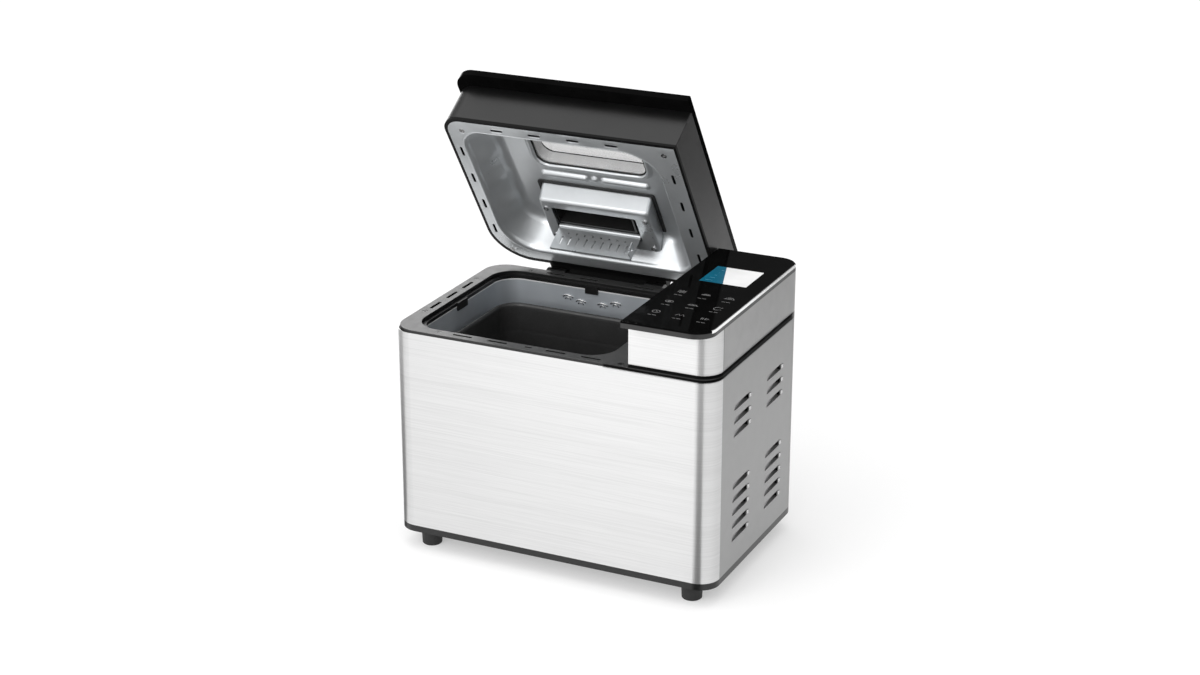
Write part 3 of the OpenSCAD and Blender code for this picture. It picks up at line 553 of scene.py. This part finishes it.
FLANGE = (-176, -112.8, 84, 105)
FLANGE_RADII = (18, 1, 1, 42)
MOUTH = (-162, -98, 59.5, 90.5)
MOUTH_RADII = (25, 40, 16, 40)
CEILING = (-140, -86, 44, 66)
CEILING_RADII = (25, 30, 16, 30)
WINDOW = (-102, -78, 24, -27)
LINER_Z = 247.0
CEILING_Z = 277.0
LID_SCREWS = ((-159, -98.5), (70.5, -100.3), (-157.5, 94.7), (72, 95.5))
FLUTE_Y = (-46, -8, 34)


def flute(point, s):
    """Soft upright flutes in the left wall of the basin."""
    x, y, z = point
    if x > -128:
        return point
    depth = sum(math.exp(-(((y - at) / 9) ** 2)) for at in FLUTE_Y)
    return (x + 3.6 * depth * math.sin(math.pi * min(max(s, 0), 1)), y, z)


def basin_ring(s, z):
    area = between(MOUTH, CEILING, s)
    radii = between(MOUTH_RADII, CEILING_RADII, s)
    return [flute(p, s) for p in outline(area, radii, z)]


def lid_liner():
    """The pressed liner: flange, low bead, fluted basin, and a ceiling with a window and two ribs."""
    m = Mesh()
    bead = [(-0.16, LINER_Z), (-0.13, LINER_Z - 0.25), (-0.1, LINER_Z - 0.4), (-0.06, LINER_Z - 0.35)]
    bead += [(-0.03, LINER_Z - 0.1)]
    lip = bezier((0, LINER_Z + 0.4, 0), (0.06, LINER_Z + 1.6, 0), (0.12, LINER_Z + 4.5, 0), 5)
    wall = [(0.12 + 0.66 * t, LINER_Z + 4.5 + 17.5 * t) for t in (0.25, 0.5, 0.75, 1)]
    top = bezier((0.8, LINER_Z + 22.6, 0), (1.0, CEILING_Z, 0), (1.34, CEILING_Z, 0), 8)
    profile = bead + [v.xy for v in lip] + wall + [v.xy for v in top]
    rings = [basin_ring(s, z) for s, z in profile]
    m.loft(rings, skip=lambda p: -102 < p.x < 7 and 58 < p.y < 74 and p.z > 262)
    slots = [stadium(x, -105.2, 14, 3, LINER_Z) for x in (-116.7, -73.4, -29.8, 13.4)]
    slots += [stadium(x, y, 14, 3, LINER_Z, True) for x in (-169, 73) for y in (-65, -22.7, 19.4, 61)]
    slots += [circle(x, y, 3.1, LINER_Z) for x, y in LID_SCREWS]
    m.sheet(outline(FLANGE, FLANGE_RADII, LINER_Z), (), [rings[0], *slots])
    window = []
    for g, z in ((8.5, 0), (7, -0.7), (5.5, -1.9), (4, -2.6), (2.6, -2.5), (1.3, -1.6), (0.5, 0.4)):
        window.append(outline(grown(WINDOW, g), [12 + g] * 4, CEILING_Z + z, 8, 4, 3))
    hole = outline(WINDOW, [12] * 4, CEILING_Z + 1.0, 8, 4, 3)
    ribs = []
    for x, length in ((-76, 58), (-6, 58)):
        for width, z in ((11, 0), (9, -0.9), (6.6, -2.4), (4, -3.3), (1.6, -3.6)):
            ribs.append(stadium(x, -10, length - 11 + width, width, CEILING_Z + z))
    dimples = ((6, 0), (4.6, -0.8), (3.2, -2.4), (1.6, -3))
    dimple = [circle(-41, -10, r, CEILING_Z + z, 20) for r, z in dimples]
    dispenser = [(-102, 20), (7, 20), (7, 61.5), (-102, 61.5)]
    opening = [(x, y, CEILING_Z) for x, y in dispenser]
    m.sheet(rings[-1], [*window, *ribs, *dimple], [hole, opening])
    liner = m.piece(
        "lid_liner_pressing", "lid", "lid_aluminium", lid=True, replaces=["lid_liner"], smooth=50
    )
    # Painted shade: the sheet's cut edges, the walls of its slots and holes among them, are black plastic.
    return even_normals(thicken(liner, 0.9, 1.0, MATERIALS["black_plastic"]))


def window_seal():
    """The thin black lip round the window's opening in the ceiling."""
    m = Mesh()
    m.tube(outline(grown(WINDOW, 0.4), [12.4] * 4, CEILING_Z + 0.3, 8, 4, 3), 1.1, 8, closed=True)
    m.piece("window_lip_seal", "lid", "rubber", lid=True, smooth=60)


# --- Dispenser --------------------------------------------------------------

BOX_TOP = (-108.9, 6.1, 19.9, 65)
BOX_LOW = (-108.9, 15, 19.9, 79.4)
BOX_RADII = [4, 4, 3, 3]
BOX_Z = 259.0
FOLD = 3.4
CHUTE = (-96, 26, 3, 63)
BOX_SCREWS = [(x, y) for x in (-102, 14) for y in (28, 72)]


def dispenser_box():
    """The formed steel box round the dispenser: sloping walls, rounded folds and a pierced face."""
    m = Mesh()
    rings = []
    for i in range(9):
        t = i / 8
        height = CEILING_Z - 0.1 + (BOX_Z + FOLD - CEILING_Z + 0.1) * t
        rings.append(outline(between(BOX_TOP, BOX_LOW, t * 0.85), BOX_RADII, height, 6, 6, 4))
    for i in range(1, 7):
        a = math.radians(15 * i)
        area = grown(between(BOX_TOP, BOX_LOW, 0.85 + 0.15 * math.sin(a)), -FOLD * (1 - math.cos(a)))
        rings.append(outline(area, BOX_RADII, BOX_Z + FOLD * (1 - math.sin(a)), 6, 6, 4))
    m.loft(rings)
    holes = [outline(CHUTE, [2] * 4, BOX_Z, 4, 3, 2)]
    holes += [circle(x, y, 1.7, BOX_Z, 16) for x, y in BOX_SCREWS]
    m.sheet(rings[-1], (), holes)
    box = m.piece(
        "dispenser_box_formed", "lid", "lid_aluminium", lid=True, replaces=["dispenser_housing"], smooth=50
    )
    return even_normals(thicken(box, 0.8, -1.0))


# --- Baking pan -------------------------------------------------------------

PAN = (-141, -66, 35, 66)
PAN_RADIUS = 22.0
PAN_Z = (78.0, 222.0)
SHAFT_X = -53.0


def pan_ring(g, z):
    return outline(grown(PAN, g), [max(PAN_RADIUS + g, 2)] * 4, z, 10, 6, 5)


def bread_pan():
    """The drawn pan, with a round foot to its walls, pressed beads and a rolled rim."""
    low, high = PAN_Z
    m = Mesh()
    inner = [(-12, low + 2)]
    inner += [(v.x, v.y) for v in bezier((-12, low + 2, 0), (-1.6, low + 2, 0), (-1.5, low + 13, 0), 7)][1:]
    inner += [(-1.5, high - 34), (-1.1, high - 32), (-1.1, high - 29), (-1.5, high - 27), (-1.5, high - 6)]
    rim = [(-1.5, high - 3), (-0.9, high - 1), (0.4, high), (1.8, high), (3.2, high - 0.7), (4, high - 2.2)]
    rim += [(3.6, high - 3.6), (2.6, high - 4.2), (1.2, high - 4.2), (0, high - 4.8)]
    outer = [(0, high - 8), (0, low + 14)]
    outer += [(v.x, v.y) for v in bezier((0, low + 13, 0), (-0.2, low, 0), (-12, low, 0), 7)]
    rings = [pan_ring(g, z) for g, z in inner + rim + outer]
    m.loft(rings)
    boss = [circle(SHAFT_X, 0, r, low + 2 + z, 40) for r, z in ((26, 0), (23, 0.6), (20, 1.4), (17, 1.4))]
    m.sheet(rings[0], boss, [circle(SHAFT_X, 0, 9, low + 3.4, 40)])
    m.sheet(rings[-1], [circle(SHAFT_X, 0, 20, low, 40)], [circle(SHAFT_X, 0, 9, low, 40)])
    m.loft([circle(SHAFT_X, 0, 9, low + 3.4, 40), circle(SHAFT_X, 0, 9, low, 40)])
    even_normals(m.piece("bread_pan_drawn", "pan", "pan_coating", replaces=["bread_pan"], smooth=40))


# --- Control panel ----------------------------------------------------------

GLASS_Z = 301.0
KEY_X = (107.8, 133.5, 159.1)
KEY_Y = (-30, -61.4, -93.3)
SCREEN = (109.6, 8.6, 160.6, 57.9)
INK_H = 0.06


def arc(x, y, r, start, end, squash=1.0, n=14):
    angles = [math.radians(start + (end - start) * i / n) for i in range(n + 1)]
    return [(x + r * math.cos(a), y + squash * r * math.sin(a)) for a in angles]


def key_strokes():
    """Generic symbols of the nine touch keys, each as lines around its own centre."""
    wave = [(-4.5 + i * 0.6, 0.9 * math.sin(i * 0.9)) for i in range(16)]
    menu = [[(x, y + dy) for x, y in wave] for dy in (-2.6, 0, 2.6)]
    crust = [arc(0, -2, 5.2, 15, 165), arc(0, -2, 3.6, 20, 160), arc(0, -2, 2.2, 25, 155)]
    scale = [arc(0, -1.5, 4.8, 0, 180), [(-6, -1.5), (6, -1.5)], [(-2, 0), (0, 2), (2, 0)]]
    timer = [arc(0, 0, 4.6, 0, 360, 0.62), arc(0, 0, 1.5, 0, 360), [(0, 0), (0, 1.4)]]
    loaf = [[(-6, -2), (6, -2)], arc(-2, -1.4, 2.6, 0, 180), arc(2.4, -1.4, 2, 0, 180)]
    turn = [arc(0, 0, 4.2, 40, 330), [(2, 3.6), (3.4, 2.6), (4.6, 4.2)], [(2.6, -3.6), (3.7, -2.1), (5, -3.2)]]
    clock = [arc(0, 0, 4.4, 0, 360, 0.9), [(0, 2.6), (0, 0), (2, -1)]]
    peaks = [[(-5, -2.4), (-2.5, 2.4), (0, -2.4), (2.5, 2.4), (5, -2.4)]]
    play = [[(x, -2.6), (x, 2.6)] for x in (-3.6, -1.8)]
    play.append([(0.6, -2.6), (5, 0), (0.6, 2.6), (0.6, -2.6)])
    return [menu, crust, scale, timer, loaf, turn, clock, peaks, play]


def ribbon(m, points, width, z, height):
    """A flat line of ink along points in plan."""
    points = [Vector((x, y, 0)) for x, y in points]
    left, right = [], []
    for i, p in enumerate(points):
        along = (points[min(i + 1, len(points) - 1)] - points[max(i - 1, 0)]).normalized()
        side = Vector((-along.y, along.x, 0)) * width / 2
        left.append(p + side)
        right.append(p - side)
    corners = ((left, 0), (left, height), (right, height), (right, 0))
    rows = [[(q.x, q.y, z + dz) for q in edge] for edge, dz in corners]
    m.loft([list(column) for column in zip(*rows)], True, True)


def touch_keys():
    ink = Shader("key_ink", roughness=0.5)
    ink.colour(ink.ramp(ink.noise(300, 2), (0.3, grey(112)), (0.7, grey(138))))
    m = Mesh()
    for index, strokes in enumerate(key_strokes()):
        x, y = KEY_X[index % 3], KEY_Y[index // 3]
        for stroke in strokes:
            ribbon(m, [(x + u * 0.92, y + v * 0.92) for u, v in stroke], 0.62, GLASS_Z, INK_H)
        ribbon(m, [(x - 4.4, y - 10.6), (x - 0.8, y - 10.6)], 0.7, GLASS_Z, INK_H)
        ribbon(m, [(x + 0.4, y - 10.6), (x + 4.4, y - 10.6)], 0.7, GLASS_Z, INK_H)
    m.piece("touch_key_print", "base", "display", material=ink.mat, smooth=30)


# Where the blue field ends, at the screen's near edge and at its far edge.
BLUE_END_X = (135.5, 119.5)


def display_fields():
    """The blue field of the display, with pale bars in it."""
    blue = Shader("display_blue", roughness=0.22)
    field = blue.ramp(blue.noise(26, 2), (0.3, srgb(0, 84, 108)), (0.7, srgb(2, 100, 126)))
    blue.colour(field)
    blue.link(field, blue.bsdf.inputs["Emission Color"])
    blue.bsdf.inputs["Emission Strength"].default_value = 0.2
    x0, y0, _, y1 = SCREEN
    near_x, far_x = BLUE_END_X
    m = Mesh()
    edge = [(x0, y0), (near_x, y0), (far_x, y1), (x0, y1)]
    m.loft([[(x, y, GLASS_Z + z) for x, y in edge] for z in (0, 0.05)], True, True)
    m.piece("display_blue_field", "base", "display", material=blue.mat, smooth=30)
    pale = Shader("display_marks", roughness=0.3)
    pale.colour(pale.ramp(pale.noise(80), (0.3, srgb(60, 142, 176)), (0.7, srgb(84, 160, 190))))
    m = Mesh()
    for i in range(5):
        y = y0 + 6 + 8 * i
        ribbon(m, [(x0 + 4 + 2 * i, y), (x0 + 12 - i * 0.8, y)], 0.5, GLASS_Z + 0.05, 0.02)
    m.piece("display_field_marks", "base", "display", material=pale.mat, smooth=30)


# --- Oven -------------------------------------------------------------------

OVEN_REAR_Y = 97.0
OVEN_CENTRE_X = SHAFT_X


def oven_vents():
    """Arched vents pressed out of the oven's rear wall, above the pan, in bright screw steel rather than the
    wall's oven steel: a painted highlight.
    """
    m = Mesh()
    for side in (-1, 1):
        for x, z, r in ((28.5, 228.4, 6.2), (13, 225, 5.8)):
            for rise in (0.0, 2.6):
                path = []
                for i in range(13):
                    a = math.radians(18 + 144 * i / 12)
                    bulge = 0.9 * math.sin(math.pi * i / 12)
                    at = OVEN_CENTRE_X + side * x + (r - rise) * math.cos(a)
                    path.append((at, OVEN_REAR_Y - 0.1 - bulge, z - 4 - rise + 0.62 * r * math.sin(a)))
                m.tube(path, 0.95 - 0.12 * rise, 10)
    # Painted highlight: the pressings take bright screw steel, lighter than the oven wall they are pressed from.
    m.piece("oven_vent_pressings", "base", "screw_steel", smooth=60)


# --- Louvres ----------------------------------------------------------------

# The top of the uppermost louvre in each row, and how many there are.
LOUVRE_ROWS = ((203.5, 3), (118, 5))
LOUVRE_PITCH = 14.4
LOUVRE_Y = (-43.8, 43.8)
LOUVRE_SIZE = (38.5, 6.2)
# The lip's section in plan: its distance from the middle plane, and from the louvre's rear end.
LIP_SECTION = ((179.9, -0.2), (180.35, -0.2), (181.1, 3.4), (180.8, 4.1), (179.9, 4.4))
LIP_INSET = 1.2


def louvre_lips():
    """The raised lip behind the open rear end of each louvre, in bright screw steel, lighter than the panels'
    paint: a painted highlight.
    """
    m = Mesh()
    tops = [top - LOUVRE_PITCH * i for top, count in LOUVRE_ROWS for i in range(count)]
    for side in (-1, 1):
        for top in tops:
            heights = (top - LOUVRE_SIZE[1] + LIP_INSET, top - LIP_INSET)
            for middle in LOUVRE_Y:
                end = middle + LOUVRE_SIZE[0] / 2
                m.loft([[(side * u, end + v, z) for u, v in LIP_SECTION] for z in heights], True, True)
    # Painted highlight: the lips take bright screw steel, not the side panels' grey paint.
    m.piece("louvre_lips", "base", "screw_steel")


# The CAD nodes whose sharp edges are rounded, and by how much.
SOFTENED = (
    ("top_deck", 0.6),
    ("control_glass", 0.35),
    ("control_bezel", 0.4),
    ("lid_top_plate", 0.8),
    ("lid_shell", 0.6),
    ("base_tray", 0.6),
    ("feet", 0.4),
)
for name, width in SOFTENED:
    soften(name, width)
NODES["window_panes"].visible_shadow = False
louvre_lips()
lid_liner()
window_seal()
dispenser_box()
bread_pan()
touch_keys()
display_fields()
oven_vents()


# --- Studio -----------------------------------------------------------------


# Cards that only reflections see. Dark felt lies on the floor in wedges, which draw a soft band down
# each rounded corner of the steel: a name, the corner that a wedge starts from, the two directions
# that it lies between, in degrees from -Y towards +X, and its grey.
WEDGES = (
    ("felt_right", (0.159, -0.094), (-9, 26), 66),
    ("felt_left", (-0.159, -0.094), (-74, -118), 120),
)
WEDGE_REACH = (0.03, 0.8)
# Felt behind, to the right, darkens the upper part of the lid's right wall.
REAR_FELT = ((0.5, 0.8, 0.0015), (1.4, 0.8, 0.0015), (1.8, 2.2, 0.0015), (0.5, 2.2, 0.0015))
# A lit card stands behind, to the left, and lightens that end of the deck.
REAR_CARD = ((-1.25, 0.85, 0.2), (-0.45, 0.85, 0.2), (-0.45, 0.85, 1.1), (-1.25, 0.85, 1.1))
# A felt strip runs 1 mm off the black band under the control block, so that the band looks black.
BAND_CORNER = (0.159, -0.094)
BAND_TURN = 0.022
BAND_ENDS = (0.06, 0.094)
BAND_Z = (0.2418, 0.2498)


def card(name, corners, shader):
    mesh = bpy.data.meshes.new(name)
    mesh.from_pydata(corners, [], [(0, 1, 2, 3)])
    mesh.materials.append(shader.mat)
    obj = bpy.data.objects.new(name, mesh)
    bpy.context.scene.collection.objects.link(obj)
    obj.visible_camera = obj.visible_diffuse = obj.visible_shadow = obj.visible_transmission = False


def felt(name, level):
    return Shader(name, roughness=1.0, base_color=grey(level), specular_ior_level=0.0)


def cards():
    for name, corner, directions, level in WEDGES:
        points = []
        for reach, order in ((WEDGE_REACH[0], directions), (WEDGE_REACH[1], directions[::-1])):
            for degrees in order:
                a = math.radians(degrees)
                points.append((corner[0] + reach * math.sin(a), corner[1] - reach * math.cos(a), 0.0015))
        card(name, points, felt(name, level))
    card("felt_rear", REAR_FELT, felt("felt_rear", 20))
    lit = Shader("rear_card", roughness=1.0, emission_color=(1, 1, 1, 1), emission_strength=1.5)
    card("rear_card", REAR_CARD, lit)
    turns = [math.radians(10 * i) for i in range(10)]
    path = [(BAND_CORNER[0] + BAND_TURN * math.sin(a), BAND_CORNER[1] - BAND_TURN * math.cos(a)) for a in turns]
    path = [(BAND_ENDS[0], path[0][1]), *path, (path[-1][0], BAND_ENDS[1])]
    low, high = BAND_Z
    band = felt("felt_band", 4)
    for i, (a, b) in enumerate(zip(path, path[1:])):
        card(f"felt_band_{i}", ((*a, low), (*b, low), (*b, high), (*a, high)), band)


def studio():
    """A white floor, a soft sky that is dark low behind the object, and one large soft key light."""
    scene = bpy.context.scene
    scene.view_settings.view_transform = "Standard"
    lens = bpy.data.cameras.new("camera")
    lens.lens = 70.31
    lens.clip_end = 60
    camera = bpy.data.objects.new("camera", lens)
    camera.location = (0.97948, -2.05402, 1.07989)
    camera.rotation_euler = Euler((math.radians(90 - 20.60), 0, math.radians(25.43)))
    scene.collection.objects.link(camera)
    scene.camera = camera

    sun = bpy.data.lights.new("key", "SUN")
    sun.energy = 0.78
    sun.angle = math.radians(80)
    key = bpy.data.objects.new("key", sun)
    key.rotation_euler = Euler((math.radians(22), 0, math.radians(-30)))
    scene.collection.objects.link(key)

    panel = bpy.data.lights.new("fill", "AREA")
    panel.energy = 6
    panel.size = 0.7
    fill = bpy.data.objects.new("fill", panel)
    fill.location = (-0.35, -1.3, 0.75)
    fill.rotation_euler = (Vector((-0.05, 0.1, 0.28)) - fill.location).to_track_quat("-Z", "Y").to_euler()
    scene.collection.objects.link(fill)

    mesh = bpy.data.meshes.new("floor")
    half = 14
    corners = [(-half, -half, 0), (half, -half, 0), (half, half, 0), (-half, half, 0)]
    mesh.from_pydata(corners, [], [(0, 1, 2, 3)])
    floor = bpy.data.objects.new("floor", mesh)
    paint = Shader("floor", roughness=0.9, base_color=grey(200), specular_ior_level=0.1)
    paint.bsdf.inputs["Emission Color"].default_value = (1, 1, 1, 1)
    paint.bsdf.inputs["Emission Strength"].default_value = 0.42
    mesh.materials.append(paint.mat)
    scene.collection.objects.link(floor)
    cards()

    sky(scene)


def sky(scene):
    """White to the camera; what lights the object is dimmer low down behind it."""
    world = bpy.data.worlds.new("studio")
    world.use_nodes = True
    scene.world = world
    tree = world.node_tree
    background = tree.nodes["Background"]
    coords = tree.nodes.new("ShaderNodeTexCoord")
    split = tree.nodes.new("ShaderNodeSeparateXYZ")
    tree.links.new(coords.outputs["Generated"], split.inputs[0])

    def remap(source, start, end, low, high):
        node = tree.nodes.new("ShaderNodeMapRange")
        tree.links.new(source, node.inputs["Value"])
        for key, value in (("From Min", start), ("From Max", end), ("To Min", low), ("To Max", high)):
            node.inputs[key].default_value = value
        return node.outputs[0]

    def larger(a, b):
        node = tree.nodes.new("ShaderNodeMath")
        node.operation = "MAXIMUM"
        tree.links.new(a, node.inputs[0])
        tree.links.new(b, node.inputs[1])
        return node.outputs[0]

    up = remap(split.outputs["Z"], 0.35, 0.75, 0.25, 1.0)
    ahead = remap(split.outputs["Y"], -0.1, 0.5, 1.0, 0.0)
    camera_ray = tree.nodes.new("ShaderNodeLightPath").outputs["Is Camera Ray"]
    tree.links.new(larger(larger(up, ahead), camera_ray), background.inputs["Strength"])
    background.inputs["Color"].default_value = (1, 1, 1, 1)


studio()
